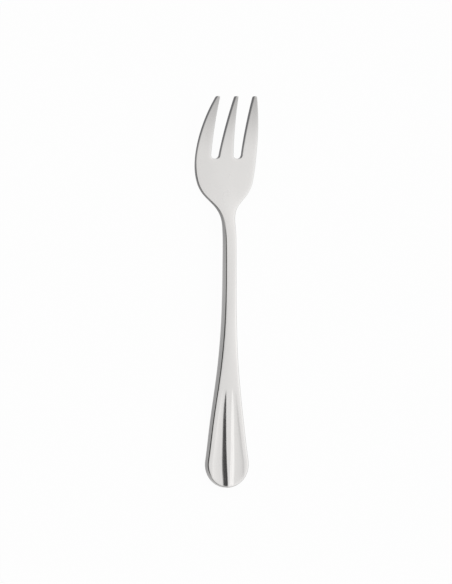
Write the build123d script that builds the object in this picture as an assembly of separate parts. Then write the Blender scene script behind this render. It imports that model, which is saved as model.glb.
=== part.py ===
from build123d import *
import os
from dataclasses import dataclass
from math import cos, radians, sin

# Oyster fork: one piece of stainless sheet, blanked, rolled, coined and bent. Sizes are in millimetres.
# Its length runs along Y with the tines towards +Y, its width along X, and +Z is up.
# It lies as on a table: the belly of the head and the heel of the handle touch the plane z = 0.

# Length and the places along it, from the handle's end, back from the tips or behind the place before
overall_length = 145.0
taper_from_end = 24.0
waist_from_end = 42.0
wrist_from_end = 62.0
tine_length = 23.0
cheek_from_tips = 23.0
jowl_behind_cheek = 7.0
shoulder_behind_jowl = 6.4
throat_behind_shoulder = 4.5
neck_behind_throat = 7.1

# Widths at those places
grip_width = 17.2
taper_width = 13.1
waist_width = 8.2
wrist_width = 5.2
neck_width = 4.5
throat_width = 8.9
shoulder_width = 17.6
jowl_width = 23.5
cheek_width = 24.8
tip_spread = 16.2

# How far the round end wraps past its widest place before the taper takes over, in degrees
grip_wrap_angle = 9.0

# Tines and the slots between them
middle_tine_root_width = 5.9
tine_tip_width = 1.2
slot_root_width = 3.4
slot_corner_radius = 1.5
tip_corner_radius = 0.5

# Side profile: height of the lower face above the table, and the thickness of the steel there
heel_flat_length = 18.0
end_thickness = 2.6
heel_thickness = 2.7
rise_from_end = 60.0
rise_height = 2.0
rise_thickness = 3.1
crown_from_tips = 59.0
crown_height = 2.9
crown_thickness = 3.05
drop_from_tips = 47.0
drop_height = 2.5
drop_thickness = 2.4
instep_from_tips = 41.0
instep_height = 1.1
instep_thickness = 1.75
belly_from_tips = 29.5
belly_thickness = 1.35
sweep_from_tips = 16.0
sweep_height = 2.75
sweep_thickness = 1.5
tip_height = 10.0
tip_thickness = 1.55
tip_slope = 0.56

# Coined flutes on the handle's upper face, one on each side of a raised spine
flute_start_from_end = 37.0
flute_start_offset = 1.6
flute_start_radius = 5.0
flute_middle_from_end = 22.0
flute_middle_offset = 2.7
flute_middle_radius = 6.0
flute_middle_depth = 0.36
flute_deep_from_end = 8.7
flute_deep_offset = 3.4
flute_deep_radius = 8.0
flute_depth = 0.55
flute_stop_past_end = 1.2
flute_stop_offset = 3.3
flute_stop_radius = 8.0
flute_stop_depth = 0.5

# Rounding of the upper edges and the smaller break of the lower ones
edge_radius = 0.2
back_edge_break = 0.2

# Stock that the trimming cuts reach past the fork
overrun = 2.0


@dataclass
class Station:
    """A place on the side profile: distance from the handle's end, height of the lower face, thickness."""

    distance: float
    height: float
    thickness: float


end = Station(-overrun, 0.0, end_thickness)
heel = Station(heel_flat_length, 0.0, heel_thickness)
arch = [
    heel,
    Station(rise_from_end, rise_height, rise_thickness),
    Station(overall_length - crown_from_tips, crown_height, crown_thickness),
    Station(overall_length - drop_from_tips, drop_height, drop_thickness),
    Station(overall_length - instep_from_tips, instep_height, instep_thickness),
    Station(overall_length - belly_from_tips, 0.0, belly_thickness),
]
tine_curve = [
    arch[-1],
    Station(overall_length - sweep_from_tips, sweep_height, sweep_thickness),
    Station(overall_length + overrun, tip_height + overrun * tip_slope, tip_thickness),
]


def parameter_at(curve, distance):
    """Parameter of a side-profile curve at a distance from the handle's end."""
    low, high = 0.0, 1.0
    while high - low > 1e-9:
        middle = (low + high) / 2
        if (curve @ middle).X < distance:
            low = middle
        else:
            high = middle
    return low


def slot(side):
    """The V-shaped slot beside the middle tine, on the side +1 or -1, with rounded bottom corners."""
    root = overall_length - tine_length
    inner_root = middle_tine_root_width / 2
    inner_tip = tine_tip_width / 2
    outer_root = inner_root + slot_root_width
    outer_tip = tip_spread / 2 - tine_tip_width
    past = 1 + overrun / tine_length
    corners = [
        (side * inner_root, root),
        (side * outer_root, root),
        (side * (outer_root + (outer_tip - outer_root) * past), overall_length + overrun),
        (side * (inner_root + (inner_tip - inner_root) * past), overall_length + overrun),
    ]
    opening = make_face(Polyline(*corners, close=True))
    bottom = opening.vertices().sort_by(Axis.Y)[:2]
    return fillet(bottom, slot_corner_radius)


def half_edge(side):
    """The outline from the grip to the tips on the side +1 or -1."""
    wrap = radians(grip_wrap_angle)
    grip = (side * grip_width / 2 * cos(wrap), grip_width / 2 * (1 + sin(wrap)))
    taper = (side * taper_width / 2, taper_from_end)
    waist = (side * waist_width / 2, waist_from_end)
    wrist = (side * wrist_width / 2, wrist_from_end)
    cheek = (side * cheek_width / 2, overall_length - cheek_from_tips)
    jowl = (side * jowl_width / 2, cheek[1] - jowl_behind_cheek)
    shoulder = (side * shoulder_width / 2, jowl[1] - shoulder_behind_jowl)
    throat = (side * throat_width / 2, shoulder[1] - throat_behind_shoulder)
    neck = (side * neck_width / 2, throat[1] - neck_behind_throat)
    tip = (side * tip_spread / 2, overall_length)
    ahead = (0, 1)
    inward = (-side * sin(wrap), cos(wrap))
    handle = Spline(grip, taper, waist, wrist, neck, tangents=[inward, ahead])
    head = Spline(neck, throat, shoulder, jowl, cheek, tangents=[ahead, ahead])
    tine_side = TangentArc(cheek, tip, tangent=ahead)
    return [handle, head, tine_side]


def plan():
    """The blank from above: round handle end, tapered grip, thin neck, broad head and three tines."""
    right, left = half_edge(1), half_edge(-1)
    handle_end = ThreePointArc(left[0] @ 0, (0, 0), right[0] @ 0)
    tips = Line((-tip_spread / 2, overall_length), (tip_spread / 2, overall_length))
    blank = make_face([handle_end, *right, tips, *left])
    blank = blank - slot(1) - slot(-1)
    tip_corners = blank.vertices().group_by(Axis.Y)[-1]
    return fillet(tip_corners, tip_corner_radius)


def lower_spline(stations, last_tangent):
    """The lower face's curve through some stations, which it leaves level with the table."""
    points = [(station.distance, station.height) for station in stations]
    return Spline(*points, tangents=[(1, 0), last_tangent])


def upper_points(curve, stations):
    """Points of the upper face over some stations, each a thickness away square to the lower face."""
    points = []
    for station in stations:
        at = parameter_at(curve, station.distance)
        run = curve % at
        points.append(curve @ at + Vector(-run.Y, run.X) * station.thickness)
    return points


lower_heel = Line((end.distance, end.height), (heel.distance, heel.height))
lower_arch = lower_spline(arch, (1, 0))
lower_tines = lower_spline(tine_curve, (1, tip_slope))
upper = Spline(
    (end.distance, end.thickness),
    *upper_points(lower_arch, arch),
    *upper_points(lower_tines, tine_curve[1:]),
    tangents=[(1, 0), (1, tip_slope)],
)


def profile():
    """The bent sheet from the side, a little longer than the fork at both ends."""
    return make_face([
        Line(lower_heel @ 0, upper @ 0),
        upper,
        Line(upper @ 1, lower_tines @ 1),
        lower_tines,
        lower_arch,
        lower_heel,
    ])


def flute(side):
    """The cutter of one flute: a round bar that dips into the upper face and swells towards the end."""
    passes = [
        (-flute_stop_past_end, flute_stop_offset, flute_stop_radius, flute_stop_depth),
        (flute_deep_from_end, flute_deep_offset, flute_deep_radius, flute_depth),
        (flute_middle_from_end, flute_middle_offset, flute_middle_radius, flute_middle_depth),
        (flute_start_from_end, flute_start_offset, flute_start_radius, 0.0),
    ]
    rings = []
    for distance, offset, radius, depth in passes:
        face_height = (upper @ parameter_at(upper, distance)).Y
        centre = (side * offset, distance, face_height + radius - depth)
        rings.append(Plane(origin=centre, x_dir=(1, 0, 0), z_dir=(0, 1, 0)) * Circle(radius))
    return loft(rings)


def facing(part, direction):
    """Faces of a part that look up (+1) or down (-1)."""
    return part.faces().filter_by(lambda face: face.normal_at().Z * direction > 0.5)


blank = Pos(0, 0, -overall_length) * extrude(plan(), amount=2 * overall_length)
sheet = Pos(-cheek_width, 0, 0) * extrude(Plane.YZ * profile(), amount=2 * cheek_width)
fork = blank & sheet
fork = chamfer(facing(fork, -1).edges(), back_edge_break)
fork = fillet(facing(fork, 1).edges(), edge_radius)
fork = fork - flute(1) - flute(-1)
fork = Pos(0, -overall_length / 2, 0) * fork
fork.label = "fork"

os.makedirs("parts", exist_ok=True)
export_step(fork, "parts/fork.step")
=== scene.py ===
import logging
import math
from dataclasses import dataclass, field
from enum import Enum
from typing import Any, Mapping, Sequence

import bpy
import numpy as np
from mathutils import Matrix, Vector
from mathutils.geometry import delaunay_2d_cdt
from mathutils.kdtree import KDTree


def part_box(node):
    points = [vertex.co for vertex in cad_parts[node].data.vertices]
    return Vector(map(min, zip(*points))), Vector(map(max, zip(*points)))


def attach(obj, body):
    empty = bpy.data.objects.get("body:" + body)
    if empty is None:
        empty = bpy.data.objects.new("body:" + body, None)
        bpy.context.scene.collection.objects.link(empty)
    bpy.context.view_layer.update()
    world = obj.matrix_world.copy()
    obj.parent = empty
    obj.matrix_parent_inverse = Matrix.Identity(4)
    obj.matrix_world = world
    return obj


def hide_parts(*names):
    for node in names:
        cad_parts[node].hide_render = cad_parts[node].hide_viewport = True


# Oyster fork: one piece of stainless steel, coined and bent, lying face up on a pale floor.
# It lies along Y with the tines towards +Y. Lengths are in metres unless a name says otherwise.

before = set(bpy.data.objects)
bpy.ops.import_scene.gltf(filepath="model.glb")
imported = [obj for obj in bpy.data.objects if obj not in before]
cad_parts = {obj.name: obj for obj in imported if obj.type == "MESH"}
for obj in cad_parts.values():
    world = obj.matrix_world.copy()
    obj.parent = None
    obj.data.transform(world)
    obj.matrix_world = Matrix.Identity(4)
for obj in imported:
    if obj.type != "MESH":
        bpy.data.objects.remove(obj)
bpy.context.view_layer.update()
log = logging.getLogger("oyster_fork")

MM = 0.001
NODE = "fork"
PHOTO_WIDTH, PHOTO_HEIGHT = 452, 584
QUARTER_TURN = math.pi / 2
ARC_POINTS = 24
NOISE_MEAN = 0.5

# A Mix node keeps a socket for every type of value, and these are the ones for colours.
MIX_FACTOR, MIX_FIRST, MIX_SECOND = 0, 6, 7
MIX_COLOUR_OUT = 2

Colour = tuple[float, float, float, float]
Direction = tuple[float, float, float]
Span = tuple[float, float]
Stations = tuple[tuple[float, float], ...]
SocketKey = int | str

WHITE: Colour = (1.0, 1.0, 1.0, 1.0)


class Face(Enum):
    """The two broad faces of the sheet, by the way they look."""

    UPPER = 1
    LOWER = -1


class Trace(Enum):
    """What the making and the use of the fork leave on its surface, and painted shade on the side wall, by
    the name of the mesh layer.
    """

    WEAR = "edge_wear"
    # the side wall's dark share: partly duller cut steel, partly painted shade
    WALL_DULLNESS_AND_SHADE = "side_wall_dullness_and_shade"


class Arithmetic(Enum):
    """What expressions do with shader values, by the name of the Math node's operation."""

    ADD = "ADD"
    SUBTRACT = "SUBTRACT"
    MULTIPLY = "MULTIPLY"


class SmoothLine:
    """A smooth curve of one value along the fork, through a few stations."""

    def __init__(
        self,
        stations: Sequence[tuple[float, float]],
        first_slope: float = 0.0,
        last_slope: float = 0.0,
    ) -> None:
        """Works out the slope at every station so that the curve bends evenly.

        Args:
            stations: pairs of distance along the fork and value, in rising order.
            first_slope: slope of the curve at the first station.
            last_slope: slope of the curve at the last station.
        """
        self.at, self.value = np.array(stations, dtype=float).T
        count = len(self.at)
        run = np.diff(self.at)
        rise = np.diff(self.value)
        matrix = np.eye(count)
        target = np.zeros(count)
        target[0], target[-1] = first_slope, last_slope
        for i in range(1, count - 1):
            before, after = 1 / run[i - 1], 1 / run[i]
            matrix[i, i - 1 : i + 2] = before, 2 * (before + after), after
            target[i] = 3 * (rise[i - 1] * before**2 + rise[i] * after**2)
        self.slopes = np.linalg.solve(matrix, target)

    def __call__(self, along: np.ndarray) -> np.ndarray:
        """Value of the curve at some distances, held straight on past its ends.

        Args:
            along: distances along the fork.

        Returns:
            The curve's value at each distance.
        """
        along = np.asarray(along, dtype=float)
        inside = np.clip(along, self.at[0], self.at[-1])
        i = np.clip(np.searchsorted(self.at, inside) - 1, 0, len(self.at) - 2)
        run = self.at[i + 1] - self.at[i]
        t = (inside - self.at[i]) / run
        start = (1 + 2 * t) * (1 - t) ** 2 * self.value[i] + t * (1 - t) ** 2 * run * self.slopes[i]
        stop = t**2 * (3 - 2 * t) * self.value[i + 1] - t**2 * (1 - t) * run * self.slopes[i + 1]
        past = np.where(along < inside, self.slopes[0], self.slopes[-1]) * (along - inside)
        return start + stop + past


@dataclass
class PlanOutline:
    """The fork's outline from above. A pair is a distance from the handle's end and the width there."""

    length: float
    cheek_width: float
    grip_width: float = 17.2 * MM
    grip_wrap: float = math.radians(9.0)
    taper: tuple[float, float] = (24.0 * MM, 13.1 * MM)
    waist: tuple[float, float] = (42.0 * MM, 8.2 * MM)
    wrist: tuple[float, float] = (62.0 * MM, 5.2 * MM)
    neck: tuple[float, float] = (97.0 * MM, 4.5 * MM)
    throat: tuple[float, float] = (104.1 * MM, 8.9 * MM)
    shoulder: tuple[float, float] = (108.6 * MM, 17.6 * MM)
    jowl: tuple[float, float] = (115.0 * MM, 23.5 * MM)
    tine_length: float = 23.0 * MM
    tip_spread: float = 16.2 * MM
    tip_width: float = 1.1 * MM
    middle_root_width: float = 5.9 * MM
    slot_root_width: float = 3.4 * MM
    slot_corner: float = 1.5 * MM
    tip_corner: float = 0.4 * MM
    tip_straight: float = 1.5 * MM
    step: float = 0.35 * MM
    points_per_step: int = 3
    end_points: int = 90

    def __post_init__(self) -> None:
        """Draws the side curves of the handle and the head."""
        self.grip = self.grip_width / 2
        self.cheek = (self.length - self.tine_length, self.cheek_width)
        self.wrap_end = self.grip * (1 + math.sin(self.grip_wrap))
        wrapped = (self.wrap_end, self.grip_width * math.cos(self.grip_wrap))
        handle = [wrapped, self.taper, self.waist, self.wrist, self.neck]
        head = [self.neck, self.throat, self.shoulder, self.jowl, self.cheek]
        self.handle_side = SmoothLine([(s, w / 2) for s, w in handle], -math.tan(self.grip_wrap))
        self.head_side = SmoothLine([(s, w / 2) for s, w in head])

    def half_width(self, along: np.ndarray) -> np.ndarray:
        """Half width of the fork over its tines and slots.

        Args:
            along: distances from the handle's end.

        Returns:
            Half the outer width at each distance.
        """
        end = np.sqrt(np.maximum(self.grip**2 - (self.grip - along) ** 2, 0.0))
        reach, inset = self.tine_length, (self.cheek_width - self.tip_spread) / 2
        bow = (reach**2 + inset**2) / (2 * inset)
        ahead = np.clip(along - self.cheek[0], 0.0, reach)
        tines = self.cheek_width / 2 - bow + np.sqrt(bow**2 - ahead**2)
        side = np.where(along < self.neck[0], self.handle_side(along), self.head_side(along))
        return np.where(along < self.wrap_end, end, np.where(along < self.cheek[0], side, tines))

    def half_loop(self) -> np.ndarray:
        """The right half of the outline, from the handle's end round the tips to the middle tine's tip.

        Returns:
            Points one step apart, from the middle of the end to the middle of the tips.
        """
        turn = np.linspace(0.0, QUARTER_TURN + self.grip_wrap, self.end_points)
        end = np.stack([self.grip * np.sin(turn), self.grip * (1 - np.cos(turn))], axis=1)
        side_end = self.length - self.tip_straight
        along = np.arange(self.wrap_end, side_end, self.step / self.points_per_step)[1:]
        side = np.stack([self.half_width(along), along], axis=1)
        root, tip = self.length - self.tine_length, self.tip_spread / 2
        inner = self.middle_root_width / 2
        corners = [
            ((tip, self.length), self.tip_corner),
            ((tip - self.tip_width, self.length), self.tip_corner),
            ((inner + self.slot_root_width, root), self.slot_corner),
            ((inner, root), self.slot_corner),
            ((self.tip_width / 2, self.length), self.tip_corner),
        ]
        path = [*end, *side]
        last = np.array([0.0, self.length])
        for i, (corner, radius) in enumerate(corners):
            following = np.array(corners[i + 1][0]) if i + 1 < len(corners) else last
            path.extend(rounded_corner(path[-1], np.array(corner), following, radius))
        path.append(last)
        return evenly_spaced(np.array(path), self.step)

    def loop(self) -> np.ndarray:
        """The whole outline, anticlockwise from above, starting at the handle's end.

        Returns:
            Points of the closed outline, each given once.
        """
        half = self.half_loop()
        mirrored = half[-2:0:-1] * np.array([-1.0, 1.0])
        return np.concatenate([half, mirrored])


def rounded_corner(
    before: np.ndarray, corner: np.ndarray, after: np.ndarray, radius: float
) -> np.ndarray:
    """Points of the arc that rounds a corner of an outline.

    Args:
        before: a point on the line into the corner.
        corner: the sharp corner.
        after: a point on the line out of the corner.
        radius: radius of the arc.

    Returns:
        Points from the arc's start to its end.
    """
    back = (before - corner) / np.linalg.norm(before - corner)
    on = (after - corner) / np.linalg.norm(after - corner)
    half = math.acos(float(np.clip(back @ on, -1.0, 1.0))) / 2
    middle = (back + on) / np.linalg.norm(back + on)
    centre = corner + middle * radius / math.sin(half)
    start = corner + back * radius / math.tan(half) - centre
    stop = corner + on * radius / math.tan(half) - centre
    turn = math.pi - 2 * half
    share = np.linspace(0.0, 1.0, ARC_POINTS)[:, None]
    blend = (np.sin((1 - share) * turn) * start + np.sin(share * turn) * stop) / math.sin(turn)
    return centre + blend


def evenly_spaced(path: np.ndarray, step: float) -> np.ndarray:
    """Points along a path at equal steps.

    Args:
        path: corners of a dense path.
        step: largest distance between two points.

    Returns:
        Points from the path's first to its last.
    """
    run = np.concatenate([[0.0], np.cumsum(np.linalg.norm(np.diff(path, axis=0), axis=1))])
    at = np.linspace(0.0, run[-1], math.ceil(run[-1] / step) + 1)
    return np.stack([np.interp(at, run, path[:, 0]), np.interp(at, run, path[:, 1])], axis=1)


def nearest_distance(places: np.ndarray, points: np.ndarray) -> np.ndarray:
    """How far places of the plan are from the nearest of some points.

    Args:
        places: the places to measure from.
        points: the points to measure to.

    Returns:
        One distance for each place.
    """
    tree = KDTree(len(points))
    for i, (x, y) in enumerate(points):
        tree.insert((x, y, 0.0), i)
    tree.balance()
    return np.array([tree.find((x, y, 0.0))[2] for x, y in places])


def is_inside(places: np.ndarray, rim_points: np.ndarray) -> np.ndarray:
    """Tells which places of the plan lie inside a closed rim.

    Args:
        places: points across and along the fork.
        rim_points: the rim, in order.

    Returns:
        True for each place inside the rim.
    """
    within = np.zeros(len(places), dtype=bool)
    x, y = places.T
    for (ax, ay), (bx, by) in zip(rim_points, np.roll(rim_points, -1, axis=0)):
        crosses = (ay > y) != (by > y)
        if crosses.any():
            within ^= crosses & (x < ax + (y - ay) / (by - ay) * (bx - ax))
    return within


@dataclass
class SideProfile:
    """The bent sheet from the side. A pair is a distance from the handle's end and a value there."""

    length: float
    heel_flat: float = 18.0 * MM
    belly: float = 115.5 * MM
    arch: Stations = (
        (60.0 * MM, 2.0 * MM),
        (86.0 * MM, 2.9 * MM),
        (98.0 * MM, 2.5 * MM),
        (104.0 * MM, 1.1 * MM),
    )
    sweep: tuple[float, float] = (129.0 * MM, 2.75 * MM)
    tip_height: float = 9.98 * MM
    tip_slope: float = 0.56
    slope_reach: float = 0.1 * MM
    thickness: Stations = (
        (0.0, 2.6 * MM),
        (18.0 * MM, 2.7 * MM),
        (60.0 * MM, 3.1 * MM),
        (86.0 * MM, 3.05 * MM),
        (98.0 * MM, 2.4 * MM),
        (104.0 * MM, 1.75 * MM),
        (115.5 * MM, 1.35 * MM),
        (129.0 * MM, 1.5 * MM),
        (145.0 * MM, 1.55 * MM),
    )
    edge_radius: Stations = (
        (0.0, 0.36 * MM),
        (20.0 * MM, 0.36 * MM),
        (40.0 * MM, 0.3 * MM),
        (75.0 * MM, 0.28 * MM),
        (96.0 * MM, 0.26 * MM),
        (108.0 * MM, 0.21 * MM),
        (122.0 * MM, 0.19 * MM),
        (145.0 * MM, 0.2 * MM),
    )
    edge_spread: float = 1.6
    back_edge_radius: float = 0.12 * MM
    rim_fall: Stations = (
        (0.0, 0.12 * MM),
        (40.0 * MM, 0.1 * MM),
        (75.0 * MM, 0.05 * MM),
        (97.0 * MM, 0.03 * MM),
        (108.0 * MM, 0.06 * MM),
        (124.0 * MM, 0.06 * MM),
        (145.0 * MM, 0.0),
    )
    rim_reach: float = 1.4 * MM
    lip_width: Stations = (
        (0.0, 0.8 * MM),
        (95.0 * MM, 0.6 * MM),
        (108.0 * MM, 0.3 * MM),
        (120.0 * MM, 0.14 * MM),
        (145.0 * MM, 0.12 * MM),
    )
    crown: Stations = (
        (0.0, 0.0),
        (30.0 * MM, 0.05 * MM),
        (48.0 * MM, 0.16 * MM),
        (70.0 * MM, 0.11 * MM),
        (97.0 * MM, 0.1 * MM),
        (108.0 * MM, 0.2 * MM),
        (122.0 * MM, 0.2 * MM),
        (145.0 * MM, 0.0),
    )
    # how dark the side wall is painted along the fork, darkest on the tines: partly duller cut steel,
    # partly painted shade
    wall_dullness_and_painted_shade: Stations = (
        (0.0, 0.4),
        (5.0 * MM, 0.62),
        (10.0 * MM, 0.68),
        (40.0 * MM, 0.67),
        (95.0 * MM, 0.72),
        (108.0 * MM, 0.9),
        (122.0 * MM, 0.92),
        (132.0 * MM, 1.0),
        (145.0 * MM, 1.0),
    )

    def __post_init__(self) -> None:
        """Draws the curves of the lower face, the thickness, the edges, the crown and the side wall's dark
        colour, partly duller cut steel and partly painted shade.
        """
        self.arch_line = SmoothLine([(self.heel_flat, 0.0), *self.arch, (self.belly, 0.0)])
        tines = [(self.belly, 0.0), self.sweep, (self.length, self.tip_height)]
        self.tine_line = SmoothLine(tines, last_slope=self.tip_slope)
        self.thickness_line = SmoothLine(self.thickness)
        self.edge_line = SmoothLine(self.edge_radius)
        self.rim_line = SmoothLine(self.rim_fall)
        self.lip_line = SmoothLine(self.lip_width)
        self.crown_line = SmoothLine(self.crown)
        self.wall_dullness_and_shade_line = SmoothLine(self.wall_dullness_and_painted_shade)

    def lower(self, along: np.ndarray) -> np.ndarray:
        """Height of the lower face above the floor, at distances from the handle's end."""
        bent = np.where(along < self.belly, self.arch_line(along), self.tine_line(along))
        return np.where(along < self.heel_flat, 0.0, bent)

    def upper(self, along: np.ndarray) -> np.ndarray:
        """Height of the upper face above the floor, a thickness away square to the lower face.

        Args:
            along: distances from the handle's end.

        Returns:
            The height at each distance.
        """
        reach = self.slope_reach
        slope = (self.lower(along + reach) - self.lower(along - reach)) / (2 * reach)
        return self.lower(along) + self.thickness_line(along) * np.sqrt(1 + slope**2)

    def easing(self, face: Face, along: np.ndarray) -> tuple[np.ndarray, np.ndarray]:
        """How far the edge of a face is eased.

        Args:
            face: the face whose edge it is.
            along: distances from the handle's end.

        Returns:
            The depth down the wall and the reach over the face at each distance.
        """
        if face is Face.LOWER:
            back = np.full(len(along), self.back_edge_radius)
            return back, back
        radius = self.edge_line(along)
        return radius, radius * self.edge_spread


@dataclass
class HandleFlutes:
    """The two coined flutes on the handle: steep beside a sharp spine, then a wing up to the rim."""

    grip_half_width: float
    spine_half_width: Stations = (
        (0.0, 0.38 * MM),
        (6.5 * MM, 0.62 * MM),
        (15.5 * MM, 0.94 * MM),
        (24.0 * MM, 1.05 * MM),
        (37.0 * MM, 1.2 * MM),
    )
    flank_width: Stations = (
        (0.0, 1.95 * MM),
        (6.5 * MM, 2.07 * MM),
        (15.5 * MM, 1.7 * MM),
        (24.0 * MM, 1.38 * MM),
        (33.0 * MM, 0.66 * MM),
        (37.0 * MM, 0.0),
    )
    flank_close: float = -0.2
    flank_slope: float = 0.27
    flank_power: float = 1.35
    least_flank: float = 0.001 * MM
    rim_width: float = 2.0 * MM
    rim_power: float = 3.0
    rim_rise: float = 0.38

    def __post_init__(self) -> None:
        """Draws the curves of the spine and its flanks."""
        self.spine_line = SmoothLine(self.spine_half_width)
        self.flank_line = SmoothLine(self.flank_width, last_slope=self.flank_close)

    def dip(self, across: np.ndarray, along: np.ndarray, half_width: np.ndarray) -> np.ndarray:
        """How far the flutes sink below the handle's face.

        Args:
            across: distances from the middle line.
            along: distances from the handle's end.
            half_width: half width of the handle at those places.

        Returns:
            The depth at each place, 0 on the spine and past the flutes.
        """
        spine = self.spine_line(along)
        flank = np.maximum(self.flank_line(along), self.least_flank)
        side = np.where(along < self.grip_half_width, self.grip_half_width, half_width)
        wing = np.maximum(side - self.rim_width - spine - flank, flank)
        from_trough = np.abs(across) - spine - flank
        inner = 1 - np.clip(-from_trough / flank, 0.0, 1.0) ** self.flank_power
        outer = 1 - self.rim_rise * np.clip(from_trough / wing, 0.0, 1.0) ** self.rim_power
        return flank * self.flank_slope * np.where(from_trough < 0, inner, outer)


class Socket:
    """A shader socket that takes part in Python expressions, each adding its Math node."""

    def __init__(self, graph: "NodeGraph", link: bpy.types.NodeSocket) -> None:
        """Keeps the graph and the output that later nodes link to."""
        self.graph = graph
        self.link = link

    def _math(self, kind: Arithmetic, *values: "Socket | float") -> "Socket":
        """Adds one Math node over some values and gives its result."""
        return self.graph.value("ShaderNodeMath", {"operation": kind.value}, dict(enumerate(values)))

    def __add__(self, other: "Socket | float") -> "Socket":
        """This value plus another."""
        return self._math(Arithmetic.ADD, self, other)

    __radd__ = __add__

    def __sub__(self, other: "Socket | float") -> "Socket":
        """This value less another."""
        return self._math(Arithmetic.SUBTRACT, self, other)

    def __rsub__(self, other: "Socket | float") -> "Socket":
        """Another value less this one."""
        return self._math(Arithmetic.SUBTRACT, other, self)

    def __mul__(self, other: "Socket | float") -> "Socket":
        """This value times another."""
        return self._math(Arithmetic.MULTIPLY, self, other)

    __rmul__ = __mul__

    def held(self, low: float, high: float) -> "Socket":
        """This value, held between two limits."""
        return self.graph.value("ShaderNodeClamp", {}, {"Value": self, "Min": low, "Max": high})

    def ramp(self, start: float, stop: float, low: float = 0.0, high: float = 1.0) -> "Socket":
        """A soft step of this value.

        Args:
            start: value at which the step begins.
            stop: value at which it ends.
            low: result before the step.
            high: result after it.

        Returns:
            The stepped value.
        """
        settings = {"interpolation_type": "SMOOTHSTEP"}
        limits = {"Value": self, "From Min": start, "From Max": stop, "To Min": low, "To Max": high}
        return self.graph.value("ShaderNodeMapRange", settings, limits)


class NodeGraph:
    """A node tree that is filled from Python, for a material or the world."""

    def __init__(self, tree: bpy.types.NodeTree) -> None:
        """Empties the tree and keeps it."""
        self.tree = tree
        tree.nodes.clear()

    def node(
        self,
        kind: str,
        settings: Mapping[str, Any] | None = None,
        sockets: Mapping[SocketKey, Any] | None = None,
    ) -> bpy.types.Node:
        """Adds a node of any type.

        Args:
            kind: Blender's name of the node type.
            settings: attributes of the node, set first.
            sockets: values or links of its inputs, by name or number.

        Returns:
            The new node.
        """
        made = self.tree.nodes.new(kind)
        for name, setting in (settings or {}).items():
            setattr(made, name, setting)
        for name, given in (sockets or {}).items():
            if isinstance(given, Socket):
                self.tree.links.new(given.link, made.inputs[name])
            else:
                made.inputs[name].default_value = given
        return made

    def value(
        self,
        kind: str,
        settings: Mapping[str, Any] | None = None,
        sockets: Mapping[SocketKey, Any] | None = None,
        output: SocketKey = 0,
    ) -> Socket:
        """Adds a node as node() does and gives one of its outputs.

        Args:
            kind: Blender's name of the node type.
            settings: attributes of the node, set first.
            sockets: values or links of its inputs, by name or number.
            output: name or number of the output.

        Returns:
            The output, ready for expressions and links.
        """
        return Socket(self, self.node(kind, settings, sockets).outputs[output])

    def trace(self, trace: Trace) -> Socket:
        """How strong a trace is on the surface, as its mesh layer says."""
        return self.value("ShaderNodeAttribute", {"attribute_name": trace.value}, output="Fac")

    def noise(self, place: Socket, grain: Direction, detail: float) -> Socket:
        """Smooth noise over a place.

        Args:
            place: coordinates that the noise is read at.
            grain: grains per metre along each axis.
            detail: number of finer layers.

        Returns:
            Noise about its mean.
        """
        spread = {"Vector": place, "Scale": grain}
        at = self.value("ShaderNodeMapping", {"vector_type": "POINT"}, spread)
        return self.value("ShaderNodeTexNoise", {}, {"Vector": at, "Scale": 1.0, "Detail": detail})

    def mix_colour(self, factor: Socket, first: Socket | Colour, second: Socket | Colour) -> Socket:
        """Mixes two colours.

        Args:
            factor: share of the second colour.
            first: colour or link at 0.
            second: colour or link at 1.

        Returns:
            The mixed colour.
        """
        sockets = {MIX_FACTOR: factor, MIX_FIRST: first, MIX_SECOND: second}
        return self.value("ShaderNodeMix", {"data_type": "RGBA"}, sockets, MIX_COLOUR_OUT)


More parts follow.
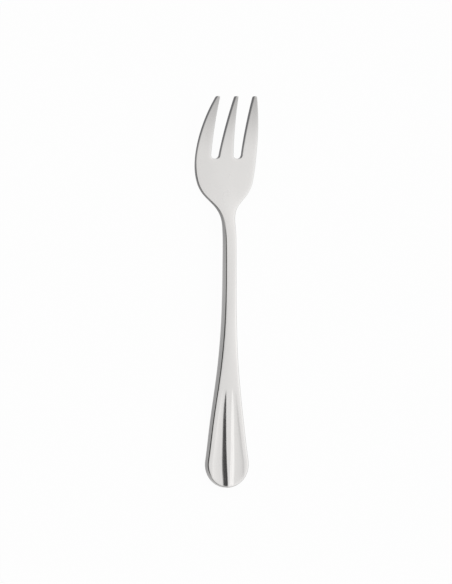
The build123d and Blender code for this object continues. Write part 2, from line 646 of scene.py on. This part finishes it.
@dataclass(frozen=True)
class PolishedSteel:
    """Stainless steel polished lengthwise, with the light handling marks of cutlery in use, and a dark
    side wall that is partly duller cut steel and partly painted shade.
    """

    name: str = "polished_stainless_steel"
    bright: Colour = (0.744, 0.731, 0.718, 1.0)
    dull: Colour = (0.664, 0.653, 0.642, 1.0)
    # dark colour of the side wall: partly duller cut steel, partly painted shade
    trimmed_wall_and_painted_shade: Colour = (0.12, 0.12, 0.124, 1.0)
    polish_grain: Direction = (5200.0, 70.0, 5200.0)
    polish_detail: float = 3.0
    scuff_grain: Direction = (900.0, 240.0, 900.0)
    scuff_detail: float = 4.0
    scuff_span: Span = (0.58, 0.74)
    cloud_grain: Direction = (70.0, 40.0, 70.0)
    cloud_detail: float = 2.0
    cloud_span: Span = (0.3, 0.7)
    cloud_brightness: float = 0.35
    polish_brightness: float = 0.3
    edge_brightness: float = 0.35
    roughness: float = 0.18
    polish_roughness: float = 0.1
    cloud_roughness: float = 0.05
    scuff_roughness: float = 0.1
    edge_roughness: float = 0.05
    wall_roughness: float = 0.12
    scuff_height: float = 0.5
    mark_height: float = 0.012 * MM
    mark_strength: float = 0.35

    def make(self) -> bpy.types.Material:
        """Builds the node material.

        Returns:
            The finished material.
        """
        material = bpy.data.materials.new(self.name)
        material.use_nodes = True
        graph = NodeGraph(material.node_tree)
        place = graph.value("ShaderNodeTexCoord", output="Object")
        polish = graph.noise(place, self.polish_grain, self.polish_detail)
        scuff = graph.noise(place, self.scuff_grain, self.scuff_detail).ramp(*self.scuff_span)
        cloud = graph.noise(place, self.cloud_grain, self.cloud_detail).ramp(*self.cloud_span)
        edge = graph.trace(Trace.WEAR)
        wall = graph.trace(Trace.WALL_DULLNESS_AND_SHADE)
        shade = (
            cloud * self.cloud_brightness
            + polish * self.polish_brightness
            + edge * self.edge_brightness
        )
        colour = graph.mix_colour(shade, self.dull, self.bright)
        # paints the side walls dark: partly duller cut steel, partly painted shade
        colour = graph.mix_colour(wall, colour, self.trimmed_wall_and_painted_shade)
        rough = (
            self.roughness
            + (polish - NOISE_MEAN) * self.polish_roughness
            + (cloud - NOISE_MEAN) * self.cloud_roughness
            + scuff * self.scuff_roughness
            - edge * self.edge_roughness
            + wall * self.wall_roughness
        )
        marks = polish + scuff * self.scuff_height
        bump = {"Strength": self.mark_strength, "Distance": self.mark_height, "Height": marks}
        normal = graph.value("ShaderNodeBump", {}, bump)
        sockets = {"Base Color": colour, "Metallic": 1.0, "Roughness": rough, "Normal": normal}
        shader = graph.value("ShaderNodeBsdfPrincipled", {}, sockets)
        graph.node("ShaderNodeOutputMaterial", {}, {"Surface": shader})
        return material


@dataclass(frozen=True)
class FloorPaper:
    """Matt white paper that the fork lies on and keeps a faint shadow on."""

    name: str = "white_floor"
    colour: Colour = (0.95, 0.95, 0.95, 1.0)
    lift: float = 0.96

    def make(self) -> bpy.types.Material:
        """Builds the node material.

        Returns:
            The finished material.
        """
        material = bpy.data.materials.new(self.name)
        material.use_nodes = True
        graph = NodeGraph(material.node_tree)
        paths = graph.node("ShaderNodeLightPath")
        kinds = ("Is Camera Ray", "Is Glossy Ray", "Is Transmission Ray")
        camera, glossy, through = (Socket(graph, paths.outputs[kind]) for kind in kinds)
        lit = graph.value("ShaderNodeBsdfDiffuse", {}, {"Color": self.colour})
        plain = graph.value("ShaderNodeEmission", {}, {"Color": WHITE, "Strength": 1.0})
        seen = (camera + glossy + through).ramp(0.0, 1.0, 0.0, self.lift)
        shader = graph.value("ShaderNodeMixShader", {}, {0: seen, 1: lit, 2: plain})
        graph.node("ShaderNodeOutputMaterial", {}, {"Surface": shader})
        return material


@dataclass
class ForkBody:
    """The whole fork as one closed mesh: two broad faces, a wall between them and eased edges."""

    plan: PlanOutline
    side: SideProfile
    flutes: HandleFlutes
    finish: PolishedSteel
    edge_rows: int = 4
    lip_rows: int = 3
    handle_grid: float = 0.24 * MM
    head_grid: float = 0.5 * MM
    back_grid: float = 0.7 * MM
    rim_clearance: float = 0.6
    relief_end: float = 42.0 * MM
    wear_reach: float = 0.7 * MM
    least_half_width: float = 0.5 * MM
    points: list[np.ndarray] = field(default_factory=list)
    wear: list[np.ndarray] = field(default_factory=list)
    # dark side-wall share of each vertex: partly duller cut steel, partly painted shade
    wall: list[np.ndarray] = field(default_factory=list)
    faces: list[tuple[int, ...]] = field(default_factory=list)

    def height(self, plan_points: np.ndarray, face: Face, depth: np.ndarray) -> np.ndarray:
        """Height of a broad face over places of the plan.

        Args:
            plan_points: places across and along the fork.
            face: the face that is meant.
            depth: distance of each place from the outline.

        Returns:
            The height at each place.
        """
        across, along = plan_points.T
        if face is Face.LOWER:
            return self.side.lower(along)
        half = np.maximum(self.plan.half_width(along), self.least_half_width)
        crown = self.side.crown_line(along) * np.minimum(np.abs(across) / half, 1.0) ** 2
        near_rim = np.clip(1 - depth / self.side.rim_reach, 0.0, 1.0)
        fall = crown + self.side.rim_line(along) * near_rim**2
        return self.side.upper(along) - fall - self.flutes.dip(across, along, half)

    def add_points(
        self, plan_points: np.ndarray, heights: np.ndarray, wear: np.ndarray, wall: np.ndarray
    ) -> np.ndarray:
        """Adds vertices to the mesh.

        Args:
            plan_points: places across and along the fork.
            heights: height at each place.
            wear: how worn each place is, from 0 to 1.
            wall: how far each place takes the dark side-wall colour, from 0 to 1; partly duller cut steel,
                partly painted shade.

        Returns:
            The numbers of the new vertices.
        """
        first = sum(len(part) for part in self.points)
        from_middle = plan_points - np.array([0.0, self.plan.length / 2])
        self.points.append(np.column_stack([from_middle, heights]))
        self.wear.append(wear)
        self.wall.append(wall)
        return np.arange(first, first + len(plan_points))

    def edge_ring(
        self, loop: np.ndarray, inward: np.ndarray, face: Face, turn: float, lip: float = 0.0
    ) -> np.ndarray:
        """Adds one ring of vertices on the eased edge of a face or on the lip beside it.

        Args:
            loop: the outline.
            inward: directions into the sheet, square to the outline.
            face: the face whose edge it is.
            turn: angle round the edge, 0 at the wall and a quarter turn at the face.
            lip: share of the lip that the ring lies inside the eased edge.

        Returns:
            The numbers of the ring's vertices.
        """
        down, over = self.side.easing(face, loop[:, 1])
        beside = lip * self.side.lip_line(loop[:, 1])
        depth = over * (1 - math.cos(turn)) + beside
        ring = loop + inward * depth[:, None]
        heights = self.height(ring, face, depth) - face.value * down * (1 - math.sin(turn))
        # the dark side-wall colour is strongest on the wall and none on the face: partly duller cut steel,
        # partly painted shade
        wall = (1 - math.sin(turn)) * self.side.wall_dullness_and_shade_line(loop[:, 1])
        return self.add_points(ring, heights, np.exp(-beside / self.wear_reach), wall)

    def edge_rings(self, loop: np.ndarray) -> list[np.ndarray]:
        """Adds the rings from the lower face's rim round the wall to the upper face's lip.

        Args:
            loop: the outline.

        Returns:
            The numbers of each ring's vertices, from below to above.
        """
        run = np.roll(loop, -1, axis=0) - np.roll(loop, 1, axis=0)
        run /= np.linalg.norm(run, axis=1)[:, None]
        inward = np.stack([-run[:, 1], run[:, 0]], axis=1)
        turns = np.linspace(0.0, QUARTER_TURN, self.edge_rows + 1)
        lips = np.linspace(0.0, 1.0, self.lip_rows + 1)[1:]
        rings = [self.edge_ring(loop, inward, Face.LOWER, turn) for turn in turns[::-1]]
        rings += [self.edge_ring(loop, inward, Face.UPPER, turn) for turn in turns]
        rings += [self.edge_ring(loop, inward, Face.UPPER, turns[-1], lip) for lip in lips]
        return rings

    def grid_inside(self, rim_points: np.ndarray, face: Face) -> np.ndarray:
        """Even points of a face that lie inside its rim and not too near it.

        Args:
            rim_points: the face's rim.
            face: the face to fill, finer where the flutes are.

        Returns:
            Points across and along the fork.
        """
        bands = [(0.0, self.plan.length, self.back_grid)]
        if face is Face.UPPER:
            bands = [
                (0.0, self.relief_end, self.handle_grid),
                (self.relief_end, self.plan.length, self.head_grid),
            ]
        kept = []
        for first, last, grid in bands:
            columns = math.ceil(self.plan.cheek_width / 2 / grid)
            across = np.arange(-columns, columns + 1) * grid
            along = np.arange(first + grid / 2, last, grid)
            places = np.stack(np.meshgrid(across, along), axis=-1).reshape(-1, 2)
            places = places[is_inside(places, rim_points)]
            clear = nearest_distance(places, rim_points) > grid * self.rim_clearance
            kept.append(places[clear])
        return np.concatenate(kept)

    def fill_face(self, rim: np.ndarray, face: Face, loop: np.ndarray) -> None:
        """Fills one broad face inside its rim with a fine even mesh.

        Args:
            rim: numbers of the rim's vertices.
            face: the face to fill.
            loop: the outline, which wear is measured from.
        """
        rim_points = np.concatenate(self.points)[rim][:, :2] + np.array([0.0, self.plan.length / 2])
        inside = self.grid_inside(rim_points, face)
        depth = nearest_distance(inside, loop)
        eased = self.side.easing(face, inside[:, 1])[1]
        wear = np.exp(-np.maximum(depth - eased, 0.0) / self.wear_reach)
        added = self.add_points(inside, self.height(inside, face, depth), wear, np.zeros(len(inside)))
        numbers = np.concatenate([rim, added])
        flat = [Vector(p) / MM for p in np.concatenate([rim_points, inside])]
        inside_only, closeness = 1, 1e-6
        filled = delaunay_2d_cdt(flat, [], [list(range(len(rim)))], inside_only, closeness)
        triangles, origins = filled[2], filled[3]
        source = [numbers[origin[0]] for origin in origins]
        for corners in triangles:
            triangle = tuple(int(source[c]) for c in corners)
            self.faces.append(triangle if face is Face.UPPER else triangle[::-1])

    def build(self) -> bpy.types.Object:
        """Builds the fork's mesh and puts it in place of the plain solid.

        Returns:
            The fork.
        """
        loop = self.plan.loop()
        rings = self.edge_rings(loop)
        for low, high in zip(rings, rings[1:]):
            quads = zip(low, np.roll(low, -1), np.roll(high, -1), high)
            self.faces.extend(tuple(int(c) for c in quad) for quad in quads)
        self.fill_face(rings[0], Face.LOWER, loop)
        self.fill_face(rings[-1], Face.UPPER, loop)
        mesh = bpy.data.meshes.new("fork_steel")
        mesh.from_pydata(np.concatenate(self.points).tolist(), [], self.faces)
        mesh.validate()
        mesh.shade_smooth()
        # stores the edge wear and the side wall's dark share, which is partly duller cut steel and partly
        # painted shade
        for trace, shares in ((Trace.WEAR, self.wear), (Trace.WALL_DULLNESS_AND_SHADE, self.wall)):
            layer = mesh.attributes.new(trace.value, "FLOAT", "POINT")
            layer.data.foreach_set("value", np.concatenate(shares).astype(np.float32))
        piece = bpy.data.objects.new("fork_steel", mesh)
        bpy.context.scene.collection.objects.link(piece)
        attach(piece, "root")
        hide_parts(NODE)
        log.info("fork: %d vertices, %d faces", len(mesh.vertices), len(mesh.polygons))
        return piece

    def dress(self, piece: bpy.types.Object) -> None:
        """Gives the fork its steel finish."""
        piece.data.materials.append(self.finish.make())
        log.info("fork: finish %s", self.finish.name)


@dataclass
class SoftLamp:
    """A square soft box that faces the fork."""

    name: str
    direction: Direction
    size: float
    radiance: float
    distance: float = 1.2

    def hang(self) -> bpy.types.Object:
        """Hangs the lamp.

        Returns:
            The lamp.
        """
        data = bpy.data.lights.new(self.name, "AREA")
        data.shape = "SQUARE"
        data.size = self.size
        data.energy = self.radiance * math.pi * self.size**2
        lamp = bpy.data.objects.new(self.name, data)
        towards = Vector(self.direction).normalized()
        lamp.location = towards * self.distance
        lamp.rotation_mode = "QUATERNION"
        lamp.rotation_quaternion = towards.to_track_quat("Z", "Y")
        bpy.context.scene.collection.objects.link(lamp)
        log.info("lamp %s hung", self.name)
        return lamp


@dataclass
class Studio:
    """Pale floor, two soft lamps and a pale room that is brighter on the right.

    The room's fields are in parts of a unit direction: across to the right, along to the tips, up.
    """

    paper: FloorPaper
    side_lamp: SoftLamp
    far_lamp: SoftLamp
    floor_half_size: float = 3.0
    floor_drop: float = 0.02 * MM
    room_level: float = 0.81
    right_gain: float = 0.55
    right_span: Span = (-0.4, 0.8)
    dark_towards: Direction = (-0.375, 0.0, 0.927)
    dark_nearness: Span = (0.829, 0.934)
    dark_along_squared: Span = (0.06, 0.2)
    dark_share: float = 0.1
    low_right_across: Span = (0.2, 0.8)
    low_right_up: Span = (0.25, 0.55)
    low_right_share: float = 0.75
    near_along: Span = (-0.82, -0.5)
    near_share: float = 0.58
    far_along: Span = (0.1, 0.7)
    far_share: float = 1.04

    def floor(self) -> bpy.types.Object:
        """Lays the floor just under the fork.

        Returns:
            The floor.
        """
        half = self.floor_half_size
        corners = [(-half, -half), (half, -half), (half, half), (-half, half)]
        mesh = bpy.data.meshes.new("floor")
        mesh.from_pydata([(x, y, -self.floor_drop) for x, y in corners], [], [(0, 1, 2, 3)])
        floor = bpy.data.objects.new("floor", mesh)
        bpy.context.scene.collection.objects.link(floor)
        mesh.materials.append(self.paper.make())
        log.info("floor laid")
        return floor

    def lamps(self) -> None:
        """Hangs the soft lamps."""
        for soft in (self.side_lamp, self.far_lamp):
            soft.hang()

    def room(self) -> None:
        """Makes the world: a pale room with a dark panel overhead on the left.

        It is a little dimmer low on the right, and dimmer again past the handle's end.
        """
        world = bpy.data.worlds.new("studio_room")
        world.use_nodes = True
        graph = NodeGraph(world.node_tree)
        towards = graph.value("ShaderNodeTexCoord", output="Generated")
        split = graph.node("ShaderNodeSeparateXYZ", {}, {"Vector": towards})
        across, along, up = (Socket(graph, split.outputs[axis]) for axis in "XYZ")
        centre = {0: towards, 1: self.dark_towards}
        nearness = graph.value("ShaderNodeVectorMath", {"operation": "DOT_PRODUCT"}, centre, "Value")
        level = self.room_level + across.held(*self.right_span) * self.right_gain
        dark = nearness.ramp(*self.dark_nearness, 0.0, 1 - self.dark_share)
        dark = dark * (along * along).ramp(*self.dark_along_squared, 1.0, 0.0)
        low = up.ramp(*self.low_right_up, 1 - self.low_right_share, 0.0)
        low = across.ramp(*self.low_right_across) * low
        level = level * (1 - dark) * (1 - low)
        level = level * along.ramp(*self.near_along, self.near_share, 1.0)
        level = level * along.ramp(*self.far_along, 1.0, self.far_share)
        shader = graph.value("ShaderNodeBackground", {}, {"Color": WHITE, "Strength": level})
        graph.node("ShaderNodeOutputWorld", {}, {"Surface": shader})
        bpy.context.scene.world = world
        log.info("room lit")


@dataclass
class PhotoCamera:
    """A long-lens camera above the fork, rolled towards its left side."""

    lens_mm: float = 500.0
    sensor_mm: float = 36.0
    roll_degrees: float = 26.0
    lean_degrees: float = -0.32
    pixels_per_metre: float = 2695.0
    origin_pixel: tuple[float, float] = (224.7, 292.2)

    def place(self) -> bpy.types.Object:
        """Makes the camera that frames the fork as the photograph does.

        Returns:
            The camera.
        """
        roll, lean = math.radians(self.roll_degrees), math.radians(self.lean_degrees)
        back = Vector((-math.sin(roll), 0.0, math.cos(roll)))
        flat_right = Vector((math.cos(roll), 0.0, math.sin(roll)))
        flat_up = Vector((0.0, 1.0, 0.0))
        right = flat_right * math.cos(lean) + flat_up * math.sin(lean)
        up = flat_up * math.cos(lean) - flat_right * math.sin(lean)
        aside = (PHOTO_WIDTH / 2 - self.origin_pixel[0]) / self.pixels_per_metre
        above = (self.origin_pixel[1] - PHOTO_HEIGHT / 2) / self.pixels_per_metre
        distance = self.lens_mm / self.sensor_mm * PHOTO_HEIGHT / self.pixels_per_metre
        data = bpy.data.cameras.new("photo_camera")
        data.lens, data.sensor_width = self.lens_mm, self.sensor_mm
        camera = bpy.data.objects.new("photo_camera", data)
        bpy.context.scene.collection.objects.link(camera)
        turn = Matrix((right, up, back)).transposed().to_4x4()
        spot = right * aside + up * above + back * distance
        camera.matrix_world = Matrix.Translation(spot) @ turn
        bpy.context.scene.camera = camera
        log.info("camera placed %.3f m away", distance)
        return camera


def main() -> None:
    """Builds the camera, the fork and the studio in order."""
    logging.basicConfig(level=logging.INFO, format="%(name)s: %(message)s")
    bpy.context.scene.view_settings.view_transform = "Standard"
    low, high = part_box(NODE)
    length, width = high[1] - low[1], high[0] - low[0]
    PhotoCamera().place()
    plan = PlanOutline(length, width)
    fork = ForkBody(plan, SideProfile(length), HandleFlutes(plan.grip), PolishedSteel())
    fork.dress(fork.build())
    side_lamp = SoftLamp("side_lamp", direction=(0.83, 0.05, 0.56), size=0.5, radiance=0.13)
    far_lamp = SoftLamp("far_lamp", direction=(0.1, 0.93, 0.33), size=0.7, radiance=0.3)
    studio = Studio(FloorPaper(), side_lamp, far_lamp)
    studio.floor()
    studio.lamps()
    studio.room()


if __name__ == "__main__":
    main()
